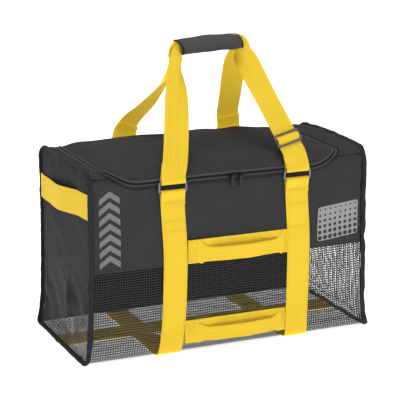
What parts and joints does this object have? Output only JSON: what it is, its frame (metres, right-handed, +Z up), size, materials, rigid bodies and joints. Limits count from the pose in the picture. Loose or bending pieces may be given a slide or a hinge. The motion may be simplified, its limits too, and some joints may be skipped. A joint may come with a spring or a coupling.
{
  "type": "mesh dive gear bag",
  "caption": "Slack rectangular gear bag of cloth over coarse net, with a zipped lid, webbing straps that run round the body, rings, grab handles and long carry loops held in a padded grip.",
  "frame": {"origin": "centre of the bag's outer box at the floor", "axes": "+X to the right along the front, +Y towards the back, +Z up"},
  "size_m": [0.6404, 0.329, 0.6205],
  "materials": {
    "charcoal_cloth": "plain woven nylon, matt",
    "black_net": "coarse coated net",
    "black_tape": "ribbed tape, matt",
    "yellow_webbing": "woven webbing, matt",
    "grey_metal": "dark grey, satin",
    "grip_cloth": "plain woven nylon over padding",
    "black_metal": "black, satin"
  },
  "bodies": {
    "bag": {"lid": "charcoal_cloth", "front_cloth": "charcoal_cloth", "top_left_cloth": "charcoal_cloth", "top_right_cloth": "charcoal_cloth", "back_cloth": "charcoal_cloth", "left_end_cloth": "charcoal_cloth", "right_end_cloth": "charcoal_cloth", "front_net": "black_net", "base_net": "black_net", "left_end_net": "black_net", "right_end_net": "black_net", "left_end_binding": "black_tape", "right_end_binding": "black_tape", "zip": "black_tape", "left_body_strap": "yellow_webbing", "right_body_strap": "yellow_webbing", "base_band": "yellow_webbing", "upper_grab_band": "yellow_webbing", "lower_grab_band": "yellow_webbing", "upper_grab_handle": "yellow_webbing", "lower_grab_handle": "yellow_webbing", "left_end_handle": "yellow_webbing", "right_end_handle": "yellow_webbing", "front_carry_loop": "yellow_webbing", "back_carry_loop": "yellow_webbing", "front_left_ring": "grey_metal", "back_left_ring": "grey_metal", "front_right_ring": "grey_metal", "back_right_ring": "grey_metal", "strap_adjuster": "grey_metal", "grip": "grip_cloth", "zip_slider_1": "black_metal", "zip_slider_2": "black_metal"},
    "pull_1": {"zip_pull_1": "black_metal"},
    "pull_2": {"zip_pull_2": "black_metal"}
  },
  "joints": [
    {"name": "pull_1_swing", "type": "hinge", "parent": "bag", "child": "pull_1", "pos_m": [-0.004, -0.15721, 0.35911], "axis": [-1, 0, 0], "range_deg": [0, 150]},
    {"name": "pull_2_swing", "type": "hinge", "parent": "bag", "child": "pull_2", "pos_m": [0.015, -0.15721, 0.35911], "axis": [-1, 0, 0], "range_deg": [0, 150]}
  ]
}
